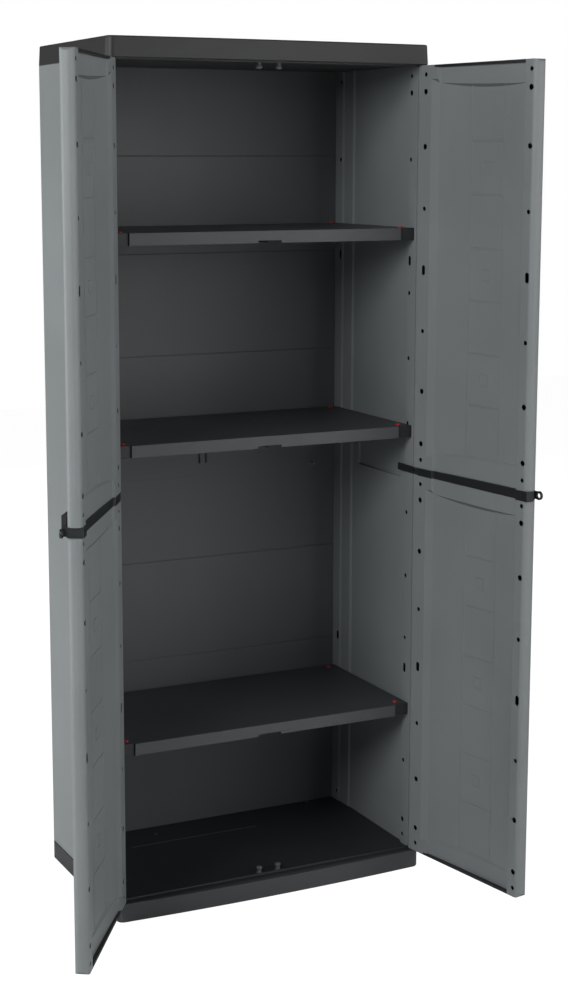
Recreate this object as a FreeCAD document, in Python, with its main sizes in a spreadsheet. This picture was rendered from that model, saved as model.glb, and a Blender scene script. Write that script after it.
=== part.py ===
import FreeCAD, Part
import Sketcher
import math
import os

# Garden storage cabinet. Millimetres, Z up, X to the right, the doors face -Y.
# The origin is the middle of the base's underside. The doors stand open at rest.

doc = FreeCAD.newDocument("garden_storage_cabinet")
V = FreeCAD.Vector

driving_sizes = {
    # whole cabinet
    "width": 680,
    "depth": 390,
    "height": 1700,
    "bow": 10,
    "skin": 1.8,
    "fit": 0.3,
    "running_fit": 0.05,
    "cut_margin": 1,
    # base and cap
    "slab_height": 38,
    "slab_wall": 2.5,
    "slab_corner": 14,
    "slab_edge_round": 3,
    "cap_taper": 2.6,
    "ledge_depth": 36,
    "hinge_block": 40,
    "lip_height": 3,
    "lip_thick": 3,
    "floor_ridge_height": 1,
    "floor_ridge_left": 204,
    "floor_ridge_right": 86,
    "floor_ridge_y": 75,
    "floor_ridge_depth": 10,
    "vent_radius": 3,
    # side walls
    "wall_inset": 2,
    "wall_front": 20.5,
    "wall_back": 2,
    "post_thick": 13.5,
    "field_thick": 8,
    "band_thick": 11,
    "front_post": 31.5,
    "field_length": 234,
    "band_length": 42,
    "step_run": 5,
    "wall_corner": 5,
    "front_column": 24,
    "rear_column": 48,
    "mid_height": 850,
    "side_joint": 38,
    "tongue_thick": 2.6,
    "tongue_play": 0.2,
    "tongue_height": 12,
    "tongue_front": 100,
    "tongue_back": 60,
    "grip_front": 115,
    "grip_back": 64,
    "grip_half_height": 24,
    "grip_depth": 4,
    "small_hole": 4.3,
    "large_hole": 5.5,
    "slot_half_width": 5,
    "slot_half_height": 10,
    # back
    "back_inset": 13,
    "back_thick": 14,
    "back_joint": 42,
    "back_joint_proud": 2,
    "back_edge_thick": 6,
    "back_edge_reach": 5.5,
    "crease_width": 2,
    "crease_depth": 1,
    "crease_near": 220,
    "crease_mid": 434,
    "crease_far": 634,
    "strap_slot_width": 4.6,
    "strap_slot_height": 22,
    "strap_slot_left": -3,
    "strap_slot_right": 12.6,
    "strap_slot_drop": 3,
    "back_tongue": 280,
    "screw_x": 265,
    "screw_rise": 32,
    "screw_radius": 2.2,
    "screw_head": 4.5,
    "screw_head_thick": 2,
    # shelves
    "shelf_thick": 24,
    "shelf_front": 23,
    "shelf_back": 35,
    "shelf_side_gap": 1,
    "shelf_plate": 2.5,
    "shelf_rim": 2.5,
    "shelf_rib": 1.5,
    "strip_half": 292,
    "strip_proud": 4,
    "strip_notch": 50,
    "strip_notch_height": 5,
    "lower_shelf_drop": 497,
    "middle_shelf_rise": 91,
    "upper_shelf_rise": 492,
    "bracket_depth": 40,
    "bracket_plate": 4,
    "bracket_wall": 3.5,
    "stud_radius": 3.4,
    "stud_length": 9,
    "peg_inset": 10.5,
    "peg_shank": 3.4,
    "peg_head": 5,
    "peg_head_height": 3,
    # doors
    "door_setback": 1,
    "door_gap": 3,
    "door_end_gap": 2,
    "nose_radius": 9,
    "hinge_inset": 10,
    "door_skin": 2,
    "hinge_flange": 35,
    "hollow_start": 12.5,
    "hollow_depth": 13,
    "pad_edge": 54,
    "slope_end": 56,
    "slope_depth": 4,
    "free_flange": 30.5,
    "field_depth": 8,
    "field_bulge": 4.5,
    "field_near": 33,
    "field_far": 782.5,
    "ledge_run": 1.8,
    "door_corner": 12,
    "hollow_stop": 9,
    "corner_round": 8,
    "hinge_holes_u": 18.5,
    "free_holes_u": 314,
    "rib_height": 1,
    "rib_width": 2.4,
    "ladder_left": 145,
    "ladder_right": 235,
    "ladder_first": 151,
    "ladder_pitch": 102.3,
    "ladder_end_gap": 14,
    "ladder_box": 12,
    "strip_height": 5,
    "strip_start": 44,
    "strip_end": 297,
    "right_open": 99.8,
    "left_open": 123.2,
    # mid bands, hinges and padlock rings
    "band_half_hinge": 7.5,
    "band_half_free": 9.75,
    "band_drop": 5,
    "band_proud": 1.5,
    "band_wrap": 1,
    "band_start": 10,
    "band_tongue_start": 70,
    "band_tongue_cover": 10,
    "band_tongue_thick": 4,
    "band_tongue_reach": 24,
    "eye_radius": 6.5,
    "eye_half": 3,
    "arm_plate": 4,
    "arm_radius": 7,
    "arm_thick": 3,
    "arm_back": 56,
    "arm_web": 8,
    "mid_pin_radius": 2.5,
    "pivot_radius": 4,
    "pivot_collar": 7,
    "pivot_rise": 16,
    "pivot_root": 14,
    "ring_radius": 8.5,
    "ring_hole": 5,
    "ring_thick": 4,
    "ring_step": 1,
    "shackle_room": 12,
    "stem_width": 10,
    "stem_gap": 0.75,
    "fin_top": 36,
    "fin_slant": 6,
    "fin_root": 1,
    # door stops
    "stop_radius": 6.5,
    "stop_height": 15,
    "stop_x": 21,
    "stop_y": 29,
    "stop_root_radius": 4,
}

sheet = doc.addObject("Spreadsheet::Sheet", "sizes")
for row, (word, number) in enumerate(driving_sizes.items(), 1):
    sheet.set(f"A{row}", word)
    sheet.set(f"B{row}", str(number))
    sheet.setAlias(f"B{row}", word)
doc.recompute()


class Size:
    """A size that knows its value and the expression over the sheet that gives it."""

    def __init__(self, value, text):
        self.value = float(value)
        self.text = text

    def __add__(self, other):
        other = as_size(other)
        return Size(self.value + other.value, f"({self.text} + {other.text})")

    def __sub__(self, other):
        other = as_size(other)
        return Size(self.value - other.value, f"({self.text} - {other.text})")

    def __mul__(self, other):
        other = as_size(other)
        return Size(self.value * other.value, f"({self.text} * {other.text})")

    def __truediv__(self, other):
        other = as_size(other)
        return Size(self.value / other.value, f"({self.text} / {other.text})")

    def __radd__(self, other):
        return as_size(other) + self

    def __rsub__(self, other):
        return as_size(other) - self

    def __rmul__(self, other):
        return as_size(other) * self

    def __neg__(self):
        return Size(-self.value, f"(-1 * {self.text})")

    def root(self):
        return Size(math.sqrt(self.value), f"sqrt({self.text})")

    def cosine(self):
        return Size(math.cos(math.radians(self.value)), f"cos({self.text})")

    def sine(self):
        return Size(math.sin(math.radians(self.value)), f"sin({self.text})")


def as_size(number):
    if isinstance(number, Size):
        return number
    return Size(number, repr(float(number)))


class Sheet:
    """The driving sizes by name."""

    def __getattr__(self, word):
        return Size(driving_sizes[word], "sizes." + word)


s = Sheet()


def bind(item, name, size):
    item.setExpression(name, as_size(size).text)


def move_to(item, x, y, z):
    for axis, size in zip("xyz", (x, y, z)):
        bind(item, "Placement.Base." + axis, size)


def box(name, x, y, z):
    """A block between two planes each way."""
    block = doc.addObject("Part::Box", name)
    bind(block, "Length", x[1] - x[0])
    bind(block, "Width", y[1] - y[0])
    bind(block, "Height", z[1] - z[0])
    move_to(block, x[0], y[0], z[0])
    return block


def rod(name, radius, axis, span, across, up):
    """A round bar along X, Y or Z between two planes; across and up place its centre line."""
    bar = doc.addObject("Part::Cylinder", name)
    bind(bar, "Radius", radius)
    bind(bar, "Height", span[1] - span[0])
    direction = {"x": V(1, 0, 0), "y": V(0, 1, 0), "z": V(0, 0, 1)}[axis]
    bar.Placement = FreeCAD.Placement(V(), FreeCAD.Rotation(V(0, 0, 1), direction))
    place = {"x": (span[0], across, up), "y": (across, span[0], up), "z": (across, up, span[0])}[axis]
    move_to(bar, *place)
    return bar


def group(name, items):
    """Several solids as one tool."""
    if len(items) == 1:
        return items[0]
    joined = doc.addObject("Part::MultiFuse", name)
    joined.Shapes = items
    return joined


def cut(name, base, *steps):
    """Cuts one set of tools after another; the tools of a set keep clear of each other."""
    result = base
    for n, tools in enumerate(steps):
        tool = tools[0]
        if len(tools) > 1:
            tool = doc.addObject("Part::Compound", f"{name}_tools{n}")
            tool.Links = tools
        step = doc.addObject("Part::Cut", f"{name}_step{n}")
        step.Base = result
        step.Tool = tool
        result = step
    return result


def common(name, base, tool):
    result = doc.addObject("Part::Common", name)
    result.Base = base
    result.Tool = tool
    return result


def slot(name, half_width, half_height, axis, span, across, up):
    """An upright slot with round ends, cut along X or Y."""
    rise = half_height - half_width
    ends = [rod(f"{name}_end{n}", half_width, axis, span, across, up + rise * n) for n in (-1, 1)]
    wide = (across - half_width, across + half_width)
    tall = (up - rise, up + rise)
    middle = box(name + "_middle", span, wide, tall) if axis == "x" else box(name + "_middle", wide, span, tall)
    return group(name, ends + [middle])


def arc_through(start, end, radius, bulge):
    """The middle point of the arc of this radius; bulge 1 lies left of the way from start to end."""
    chord = end - start
    half = chord.Length / 2
    rise = radius - math.sqrt(max(radius * radius - half * half, 0))
    left = V(-chord.y, chord.x, 0).normalize()
    return (start + end) * 0.5 + left * rise * bulge


def prism(name, plane, corners, low, high):
    """A body with one pad. A corner is (x, y) or (x, y, radius, bulge) where an arc runs to the next."""
    body = doc.addObject("PartDesign::Body", name)
    for feature in body.Origin.OriginFeatures:
        if feature.Role == plane:
            support = feature
    sketch = body.newObject("Sketcher::SketchObject", name + "_outline")
    sketch.AttachmentSupport = (support, "")
    sketch.MapMode = "FlatFace"
    points = [V(corner[0].value, corner[1].value, 0) for corner in corners]
    edges = []
    for n, corner in enumerate(corners):
        start, end = points[n], points[(n + 1) % len(points)]
        if len(corner) == 2:
            line = sketch.addGeometry(Part.LineSegment(start, end), False)
            edges.append((line, 1, 2))
        else:
            middle = arc_through(start, end, corner[2].value, corner[3])
            turns_left = corner[3] < 0
            ends = (start, end) if turns_left else (end, start)
            arc = sketch.addGeometry(Part.Arc(ends[0], middle, ends[1]), False)
            edges.append((arc, 1, 2) if turns_left else (arc, 2, 1))
    for n, (edge, first, last) in enumerate(edges):
        following = edges[(n + 1) % len(edges)]
        sketch.addConstraint(Sketcher.Constraint("Coincident", edge, last, following[0], following[1]))
        for kind, size in (("DistanceX", corners[n][0]), ("DistanceY", corners[n][1])):
            rule = sketch.addConstraint(Sketcher.Constraint(kind, -1, 1, edge, first, size.value))
            sketch.setExpression(f"Constraints[{rule}]", size.text)
        if len(corners[n]) > 2:
            rule = sketch.addConstraint(Sketcher.Constraint("Radius", edge, corners[n][2].value))
            sketch.setExpression(f"Constraints[{rule}]", corners[n][2].text)
    start = low if plane != "XZ_Plane" else -high
    bind(sketch, "AttachmentOffset.Base.z", start)
    pad = body.newObject("PartDesign::Pad", name + "_pad")
    pad.Profile = sketch
    bind(pad, "Length", high - low)
    sketch.recompute()
    pad.recompute()
    return body


def round_edges(body, radius, picks):
    """Rounds the edges of the body's last feature that the pick chooses."""
    base = body.Tip
    names = [f"Edge{n}" for n, edge in enumerate(base.Shape.Edges, 1) if picks(edge)]
    fillet = body.newObject("PartDesign::Fillet", body.Name + "_round")
    fillet.Base = (base, names)
    bind(fillet, "Radius", radius)
    fillet.recompute()
    return body


def upright(edge):
    ends = [vertex.Point for vertex in edge.Vertexes]
    return len(ends) == 2 and abs(ends[0].x - ends[1].x) < 0.01 and abs(ends[0].y - ends[1].y) < 0.01


def across(side, low, high):
    """The X span between two distances from the middle, on one side of the cabinet."""
    return (low, high) if side > 0 else (-high, -low)


def level(edge_z):
    return lambda edge: all(abs(vertex.Z - edge_z) < 0.01 for vertex in edge.Vertexes)


# Places that the pieces share
half_width = s.width / 2
front_y = -s.depth / 2
back_y = s.depth / 2
cap_bottom = s.height - s.slab_height
floor_top = s.slab_height
bow_radius = (half_width * half_width + s.bow * s.bow) / (2 * s.bow)
bow_centre_y = front_y - s.bow + bow_radius

wall_out = half_width - s.wall_inset
post_in = wall_out - s.post_thick
field_in = wall_out - s.field_thick
band_in = wall_out - s.band_thick
wall_start = front_y + s.wall_front
wall_end = back_y - s.wall_back
field_start = wall_start + s.front_post
field_end = field_start + s.field_length
band_end = field_end + s.band_length
front_column_y = wall_start + s.front_column
rear_column_y = wall_end - s.rear_column
side_low = s.mid_height - s.side_joint
side_high = s.mid_height + s.side_joint
tongue_out = wall_out - s.skin - s.tongue_play
tongue_in = tongue_out - s.tongue_thick

back_face = back_y - s.back_inset - s.back_thick
back_rear = back_y - s.back_inset
back_mid = (back_face + back_rear) / 2
back_low = s.mid_height - s.back_joint
back_high = s.mid_height + s.back_joint

lower_shelf_top = s.mid_height - s.lower_shelf_drop
middle_shelf_top = s.mid_height + s.middle_shelf_rise
upper_shelf_top = s.mid_height + s.upper_shelf_rise

hinge_x = half_width - s.hinge_inset
door_radius = bow_radius - s.door_setback


def door_face(x):
    """Y of the doors' outer face at a distance from the middle."""
    return bow_centre_y - (door_radius * door_radius - x * x).root()


hinge_y = door_face(hinge_x) + s.nose_radius
door_inner = hinge_y + s.nose_radius
door_bottom = floor_top + s.door_end_gap
door_top = cap_bottom - s.door_end_gap
door_length = hinge_x - s.door_gap / 2
door_reach = door_top - s.mid_height
free_flange_u = door_length - s.free_flange
ring_z = s.mid_height - s.band_drop
hollow_near = s.band_half_free + s.band_drop + s.door_skin

pieces = {}


def finish(label, item):
    """Names a finished sub-part."""
    item.Label = label
    pieces[label] = item


# Base and cap

def slab_outline():
    return [
        (-half_width, front_y, bow_radius, -1),
        (half_width, front_y),
        (half_width, back_y),
        (-half_width, back_y),
    ]


def slab_block(name, low, high):
    body = prism(name, "XY_Plane", slab_outline(), low, high)
    return round_edges(body, s.slab_corner, upright)


def slab_hollow(name, wall, low, high):
    """The air inside a slab, which leaves solid blocks round the pivot pins."""
    main = box(name + "_main", (-half_width + wall, half_width - wall),
               (front_y + s.ledge_depth, back_y - wall), (low, high))
    front = box(name + "_front", (-half_width + s.hinge_block, half_width - s.hinge_block),
                (front_y + wall, front_y + s.ledge_depth + wall), (low, high))
    return group(name, [main, front])


def wall_sockets(name, low, high):
    """The slots that take the tongues of the side walls and of the back."""
    sockets = []
    for side in (-1, 1):
        x = across(side, tongue_in - s.fit, tongue_out + s.fit)
        y = (-s.tongue_front - s.fit, s.tongue_back + s.fit)
        sockets.append(box(f"{name}_side_socket{side}", x, y, (low, high)))
    x = (-s.back_tongue - s.fit, s.back_tongue + s.fit)
    y = (back_mid - s.tongue_thick / 2 - s.fit, back_mid + s.tongue_thick / 2 + s.fit)
    sockets.append(box(name + "_back_socket", x, y, (low, high)))
    return sockets


def pivot_holes(name, low, high):
    return [
        rod(f"{name}_pivot_hole{side}", s.pivot_radius + s.running_fit, "z", (low, high), side * hinge_x, hinge_y)
        for side in (-1, 1)
    ]


def stop_holes(name, low, high):
    return [
        rod(f"{name}_stop_hole{side}", s.stop_root_radius + s.running_fit, "z", (low, high),
            side * s.stop_x, front_y + s.stop_y)
        for side in (-1, 1)
    ]


def door_lip(name, low, high):
    """A low bar across the ledge, just behind the closed doors."""
    start = door_inner + s.fit + s.running_fit
    return box(name, (-post_in + s.fit, post_in - s.fit), (start, start + s.lip_thick), (low, high))


def make_base():
    block = slab_block("base_block", as_size(0), floor_top)
    round_edges(block, s.slab_edge_round, level(0))
    ridge = box("floor_ridge", (-s.floor_ridge_left, s.floor_ridge_right),
                (s.floor_ridge_y, s.floor_ridge_y + s.floor_ridge_depth),
                (floor_top, floor_top + s.floor_ridge_height))
    lip = door_lip("base_lip", floor_top, floor_top + s.lip_height)
    solid = group("base_solid", [block, lip, ridge])
    top_skin = (floor_top - s.slab_wall, floor_top)
    hollow = slab_hollow("base_hollow", s.slab_wall, s.slab_wall, floor_top - s.slab_wall)
    tools = wall_sockets("base", *top_skin)
    tools += pivot_holes("base", floor_top - s.pivot_root, floor_top)
    tools += stop_holes("base", floor_top - s.slab_wall, floor_top)
    tools.append(rod("base_vent", s.vent_radius, "y", (back_y - s.slab_wall, back_y), as_size(0), floor_top / 2))
    finish("base", cut("base_cut", solid, [hollow], tools))


def make_cap():
    block = prism("cap_block", "XY_Plane", slab_outline(), cap_bottom, s.height)
    bind(block.Tip, "TaperAngle", -s.cap_taper)
    block.Tip.recompute()
    round_edges(block, s.slab_corner, lambda edge: abs(edge.BoundBox.ZLength - s.slab_height.value) < 0.01)
    round_edges(block, s.slab_edge_round, level(s.height.value))
    lip = door_lip("cap_lip", cap_bottom - s.lip_height, cap_bottom)
    solid = group("cap_solid", [block, lip])
    hollow = slab_hollow("cap_hollow", 2 * s.slab_wall, cap_bottom + s.slab_wall, s.height - s.slab_wall)
    tools = wall_sockets("cap", cap_bottom, cap_bottom + s.tongue_height + s.fit)
    tools += pivot_holes("cap", cap_bottom, cap_bottom + s.pivot_root)
    tools += stop_holes("cap", cap_bottom, cap_bottom + s.slab_wall)
    tools.append(rod("cap_vent", s.vent_radius, "y", (back_y - 3 * s.slab_wall, back_y), as_size(0),
                     cap_bottom + s.slab_height / 2))
    finish("top_cap", cut("cap_cut", solid, [hollow], tools))


# Side walls

def wall_outline(side):
    """The section of a side wall: thick posts front and rear, a thin field between two steps."""
    inner = [
        (post_in, wall_start),
        (post_in, field_start),
        (field_in, field_start + s.step_run),
        (field_in, field_end),
        (band_in, field_end + s.step_run),
        (band_in, band_end),
        (post_in, band_end + s.step_run),
        (post_in, wall_end),
    ]
    corners = [(wall_out, wall_end), (wall_out, wall_start)] + inner
    return [(side * x, y) for x, y in corners]


def wall_section(name, side, low, high):
    body = prism(name, "XY_Plane", wall_outline(side), low, high)
    outer = wall_out.value
    return round_edges(body, s.wall_corner, lambda edge: upright(edge) and abs(abs(edge.Vertexes[0].X) - outer) < 0.01)


def wall_hollow(name, side, low, high):
    """The air inside a blown wall, following its steps."""
    outer = wall_out - s.skin
    parts = [
        (post_in, wall_start, field_start),
        (field_in, field_start - s.skin, field_end + s.skin),
        (band_in, field_end + s.step_run, band_end + s.skin),
        (post_in, band_end + s.step_run, back_face - s.skin),
    ]
    blocks = [
        box(f"{name}_hollow{n}", across(side, inner + s.skin, outer), (start + s.skin, end - s.skin), (low, high))
        for n, (inner, start, end) in enumerate(parts)
    ]
    return group(name + "_hollow", blocks)


def back_groove(name, side, low, high):
    """The groove in the rear post that holds the edge of the back."""
    x = across(side, post_in, post_in + s.back_edge_reach + s.fit)
    half = s.back_edge_thick / 2 + s.fit
    return box(name, x, (back_mid - half, back_mid + half), (low, high))


small_offsets = (93, 227, 360, 627, 791)
large_offsets = (758,)
slot_offset = 425
rear_offsets = (627, 790)


def column_holes(name, side, upward):
    """The two columns of holes that open into the hollow post."""
    wall = across(side, post_in, post_in + s.skin)
    tools = []
    for offset in small_offsets + large_offsets:
        radius = s.large_hole if offset in large_offsets else s.small_hole
        z = s.mid_height + upward * offset
        tools.append(rod(f"{name}_hole{offset}", radius, "x", wall, front_column_y, z))
    for offset in rear_offsets:
        z = s.mid_height + upward * offset
        tools.append(rod(f"{name}_rear_hole{offset}", s.small_hole, "x", wall, rear_column_y, z))
    z = s.mid_height + upward * slot_offset
    for place, y in (("front", front_column_y), ("rear", rear_column_y)):
        tools.append(slot(f"{name}_{place}_slot", s.slot_half_width, s.slot_half_height, "x", wall, y, z))
    return tools


def stud_holes(name, side, tops):
    wall = across(side, post_in, post_in + s.skin)
    tools = []
    for n, top in enumerate(tops):
        for place, y in (("front", front_column_y), ("rear", rear_column_y)):
            z = top - s.shelf_thick / 2
            tools.append(rod(f"{name}_{place}_stud_hole{n}", s.stud_radius + s.fit, "x", wall, y, z))
    return tools


def side_tongue(name, side, low, high):
    return box(name, across(side, tongue_in, tongue_out), (-s.tongue_front, as_size(s.tongue_back)), (low, high))


def side_socket(name, side, low, high):
    x = across(side, tongue_in - s.fit / 2, tongue_out + s.fit / 2)
    return box(name, x, (-s.tongue_front - s.fit, s.tongue_back + s.fit), (low, high))


def make_side_panels():
    for side, hand in ((-1, "left"), (1, "right")):
        for place, upward in (("lower", -1), ("upper", 1)):
            name = f"side_panel_{hand}_{place}"
            if upward < 0:
                low, high = floor_top, side_low
                tongue = (low - s.tongue_height, low)
                socket = (high - s.skin, high)
                tops = [lower_shelf_top]
            else:
                low, high = side_high, cap_bottom
                tongue = (high, high + s.tongue_height)
                socket = (low, low + s.skin)
                tops = [middle_shelf_top, upper_shelf_top]
            wall = wall_section(name + "_wall", side, low, high)
            solid = group(name + "_solid", [wall, side_tongue(name + "_tongue", side, *tongue)])
            hollow = wall_hollow(name, side, low + s.skin, high - s.skin)
            tools = [back_groove(name + "_groove", side, low, high)]
            tools.append(side_socket(name + "_socket", side, *socket))
            tools += column_holes(name, side, upward)
            tools += stud_holes(name, side, tops)
            finish(name, cut(name + "_cut", solid, [hollow], tools))


def make_side_connectors():
    for side, hand in ((-1, "left"), (1, "right")):
        name = f"side_connector_{hand}"
        wall = wall_section(name + "_wall", side, side_low, side_high)
        tongues = [
            side_tongue(name + "_tongue_down", side, side_low - s.tongue_height, side_low),
            side_tongue(name + "_tongue_up", side, side_high, side_high + s.tongue_height),
        ]
        solid = group(name + "_solid", [wall] + tongues)
        grip = box(name + "_grip", across(side, field_in, field_in + s.grip_depth),
                   (-s.grip_front, as_size(s.grip_back)),
                   (s.mid_height - s.grip_half_height, s.mid_height + s.grip_half_height))
        tools = [grip, back_groove(name + "_groove", side, side_low, side_high)]
        finish(name, cut(name + "_cut", solid, tools))


# Back

def back_tongue(name, low, high):
    y = (back_mid - s.tongue_thick / 2, back_mid + s.tongue_thick / 2)
    return box(name, (-s.back_tongue, as_size(s.back_tongue)), y, (low, high))


def back_sheet(name, low, high, proud):
    """A back wall with the thin edges that stand in the side walls' grooves."""
    x = (-post_in + s.fit, post_in - s.fit)
    sheet_block = box(name + "_sheet", x, (back_face - proud, back_rear), (low, high))
    reach = post_in + s.back_edge_reach
    half = s.back_edge_thick / 2
    edge_block = box(name + "_edges", (-reach, reach), (back_mid - half, back_mid + half), (low, high))
    return [sheet_block, edge_block]


def make_back():
    x = (-post_in + s.fit + s.skin, post_in - s.fit - s.skin)
    y = (back_face + s.skin, back_rear - s.skin)
    creases = (s.crease_near, s.crease_mid, s.crease_far)
    for place, upward in (("lower", -1), ("upper", 1)):
        name = f"back_panel_{place}"
        if upward < 0:
            low, high = floor_top, back_low
            tongue = (low - s.tongue_height, low)
            socket = (high - s.skin, high)
        else:
            low, high = back_high, cap_bottom
            tongue = (high, high + s.tongue_height)
            socket = (low, low + s.skin)
        blocks = back_sheet(name, low, high, as_size(0)) + [back_tongue(name + "_tongue", *tongue)]
        solid = group(name + "_solid", blocks)
        hollow = box(name + "_hollow", x, y, (low + s.skin, high - s.skin))
        tools = [box(name + "_socket", (-s.back_tongue - s.fit, s.back_tongue + s.fit),
                     (back_mid - s.tongue_thick / 2 - s.fit, back_mid + s.tongue_thick / 2 + s.fit), socket)]
        for n, offset in enumerate(creases):
            z = s.mid_height + upward * offset
            tools.append(box(f"{name}_crease{n}", (-post_in + s.fit, post_in - s.fit),
                             (back_face, back_face + s.crease_depth),
                             (z - s.crease_width / 2, z + s.crease_width / 2)))
        finish(name, cut(name + "_cut", solid, [hollow], tools))

    blocks = back_sheet("back_connector", back_low, back_high, s.back_joint_proud)
    blocks.append(back_tongue("back_connector_tongue_down", back_low - s.tongue_height, back_low))
    blocks.append(back_tongue("back_connector_tongue_up", back_high, back_high + s.tongue_height))
    solid = group("back_connector_solid", blocks)
    through = (back_face - s.back_joint_proud, back_rear)
    slot_z = s.mid_height - s.strap_slot_drop
    tools = []
    for n, x in enumerate((s.strap_slot_left, s.strap_slot_right)):
        tools.append(box(f"strap_slot{n}", (x - s.strap_slot_width / 2, x + s.strap_slot_width / 2), through,
                         (slot_z - s.strap_slot_height / 2, slot_z + s.strap_slot_height / 2)))
    screws = []
    for side in (-1, 1):
        for upward in (-1, 1):
            x, z = side * s.screw_x, s.mid_height + upward * s.screw_rise
            tools.append(rod(f"screw_hole{side}{upward}", s.screw_radius + s.running_fit, "y", through, x, z))
            shank = rod(f"screw_shank{side}{upward}", s.screw_radius, "y", through, x, z)
            head = rod(f"screw_head{side}{upward}", s.screw_head, "y",
                       (through[0] - s.screw_head_thick, through[0]), x, z)
            screws.append(group(f"screw{side}{upward}", [shank, head]))
    finish("back_connector", cut("back_connector_cut", solid, tools))
    finish("back_connector_screws", group("screws", screws))


# Shelves with their corner brackets and lock pegs

shelf_half = post_in - s.shelf_side_gap
block_front = front_y + s.shelf_front + s.strip_proud
shelf_back_y = back_y - s.shelf_back
corner_x = s.strip_half
peg_x = corner_x + s.peg_inset
pocket_columns = 6
pocket_rows = 3


def shelf_corners():
    """Side, end, and the Y of the corner's outer edge, for the four corners of a shelf."""
    return [(side, end, y) for side in (-1, 1) for end, y in ((-1, block_front), (1, shelf_back_y))]


def corner_span(end, edge, start, stop):
    """The Y span between two distances from a shelf's front or back edge."""
    return (edge + start, edge + stop) if end < 0 else (edge - stop, edge - start)


def corner_name(side, end):
    return f"{'front' if end < 0 else 'rear'}_{'left' if side < 0 else 'right'}"


def peg_y(end):
    return front_column_y if end < 0 else rear_column_y


def make_shelf(place, top):
    name = f"shelf_{place}"
    bottom = top - s.shelf_thick
    plate = box(name + "_plate", (-shelf_half, shelf_half), (block_front, shelf_back_y), (bottom, top))
    strip = box(name + "_strip", (-s.strip_half, as_size(s.strip_half)),
                (block_front - s.strip_proud, block_front), (bottom, top))
    solid = group(name + "_solid", [plate, strip])
    notch = box(name + "_notch", (-s.strip_notch / 2, s.strip_notch / 2),
                (block_front - s.strip_proud, block_front + s.shelf_rim),
                (bottom, bottom + s.strip_notch_height))
    corners, holes, pockets = [], [], []
    for side, end, edge in shelf_corners():
        corner = corner_name(side, end)
        tag = f"{name}_{corner}"
        reach = s.bracket_depth + s.fit
        under = box(tag + "_under", across(side, corner_x, shelf_half), corner_span(end, edge, 0, reach),
                    (bottom, bottom + s.bracket_plate + s.fit))
        end_room = box(tag + "_end", across(side, corner_x, shelf_half),
                       corner_span(end, edge, 0, s.bracket_wall + s.fit), (bottom, top))
        side_room = box(tag + "_side", across(side, shelf_half - s.bracket_wall - s.fit, shelf_half),
                        corner_span(end, edge, 0, reach), (bottom, top))
        corners.append(group(tag + "_room", [under, end_room, side_room]))
        holes.append(rod(tag + "_peg_hole", s.peg_shank + s.running_fit, "z", (bottom, top),
                         side * peg_x, peg_y(end)))
    depth = (bottom, top - s.shelf_plate)
    pocket_x = corner_x - s.shelf_rim
    step_x = (2 * pocket_x + s.shelf_rib) / pocket_columns
    front = block_front + s.shelf_rim
    rear = shelf_back_y - s.shelf_rim
    step_y = (rear - front + s.shelf_rib) / pocket_rows
    for column in range(pocket_columns):
        for row in range(pocket_rows):
            x = -pocket_x + step_x * column
            y = front + step_y * row
            pockets.append(box(f"{name}_pocket{column}{row}", (x, x + step_x - s.shelf_rib),
                               (y, y + step_y - s.shelf_rib), depth))
    reach = s.bracket_depth + s.fit + s.shelf_rim
    for side in (-1, 1):
        pockets.append(box(f"{name}_side_pocket{side}", across(side, corner_x, shelf_half - s.shelf_rim),
                           (block_front + reach, shelf_back_y - reach), depth))
    finish(name, cut(name + "_cut", solid, [notch], corners, holes, pockets))
    pegs = []
    for side, end, edge in shelf_corners():
        pegs.append(make_corner(place, top, side, end, edge))
    finish(f"shelf_{place}_lock_pegs", group(name + "_pegs", pegs))


def make_corner(place, top, side, end, edge):
    """The cup under a shelf corner with its stud into the side wall, and the peg that locks the corner."""
    name = f"bracket_{place}_{corner_name(side, end)}"
    bottom = top - s.shelf_thick
    outer_x = across(side, corner_x + s.fit, shelf_half)
    plate = box(name + "_plate", outer_x, corner_span(end, edge, 0, s.bracket_depth),
                (bottom, bottom + s.bracket_plate))
    end_wall = box(name + "_end", outer_x, corner_span(end, edge, 0, s.bracket_wall), (bottom, top))
    side_wall = box(name + "_side", across(side, shelf_half - s.bracket_wall, shelf_half),
                    corner_span(end, edge, 0, s.bracket_depth), (bottom, top))
    stud = rod(name + "_stud", s.stud_radius, "x", across(side, shelf_half, shelf_half + s.stud_length),
               peg_y(end), top - s.shelf_thick / 2)
    solid = group(name + "_solid", [plate, end_wall, side_wall, stud])
    x, y = side * peg_x, peg_y(end)
    hole = rod(name + "_peg_hole", s.peg_shank + s.running_fit, "z", (bottom, bottom + s.bracket_plate), x, y)
    finish(name, cut(name + "_cut", solid, [hole]))
    shank = rod(name + "_peg_shank", s.peg_shank, "z", (bottom, top), x, y)
    head = rod(name + "_peg_head", s.peg_head, "z", (top, top + s.peg_head_height), x, y)
    return group(name + "_peg", [shank, head])


# Doors, modelled shut and then swung open about their pivots

rung_count = 6


def swing(item, side):
    """Turns a piece of a door from shut to its place at rest."""
    angle = s.right_open if side > 0 else -s.left_open
    x, y = side * hinge_x, hinge_y
    item.Placement = FreeCAD.Placement(V(), FreeCAD.Rotation(V(0, 0, 1), 1))
    bind(item, "Placement.Rotation.Angle", angle)
    bind(item, "Placement.Base.x", x - (x * angle.cosine() - y * angle.sine()))
    bind(item, "Placement.Base.y", y - (x * angle.sine() + y * angle.cosine()))


def leaf_x(side, u):
    """X at a distance from the pivot along a shut door."""
    return side * (hinge_x - u)


def leaf_span(side, start, stop):
    return (hinge_x - stop, hinge_x - start) if side > 0 else (start - hinge_x, stop - hinge_x)


def rise(upward, start, stop):
    """The Z span between two distances from the cabinet's middle."""
    if upward > 0:
        return (s.mid_height + start, s.mid_height + stop)
    return (s.mid_height - stop, s.mid_height - start)


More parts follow.
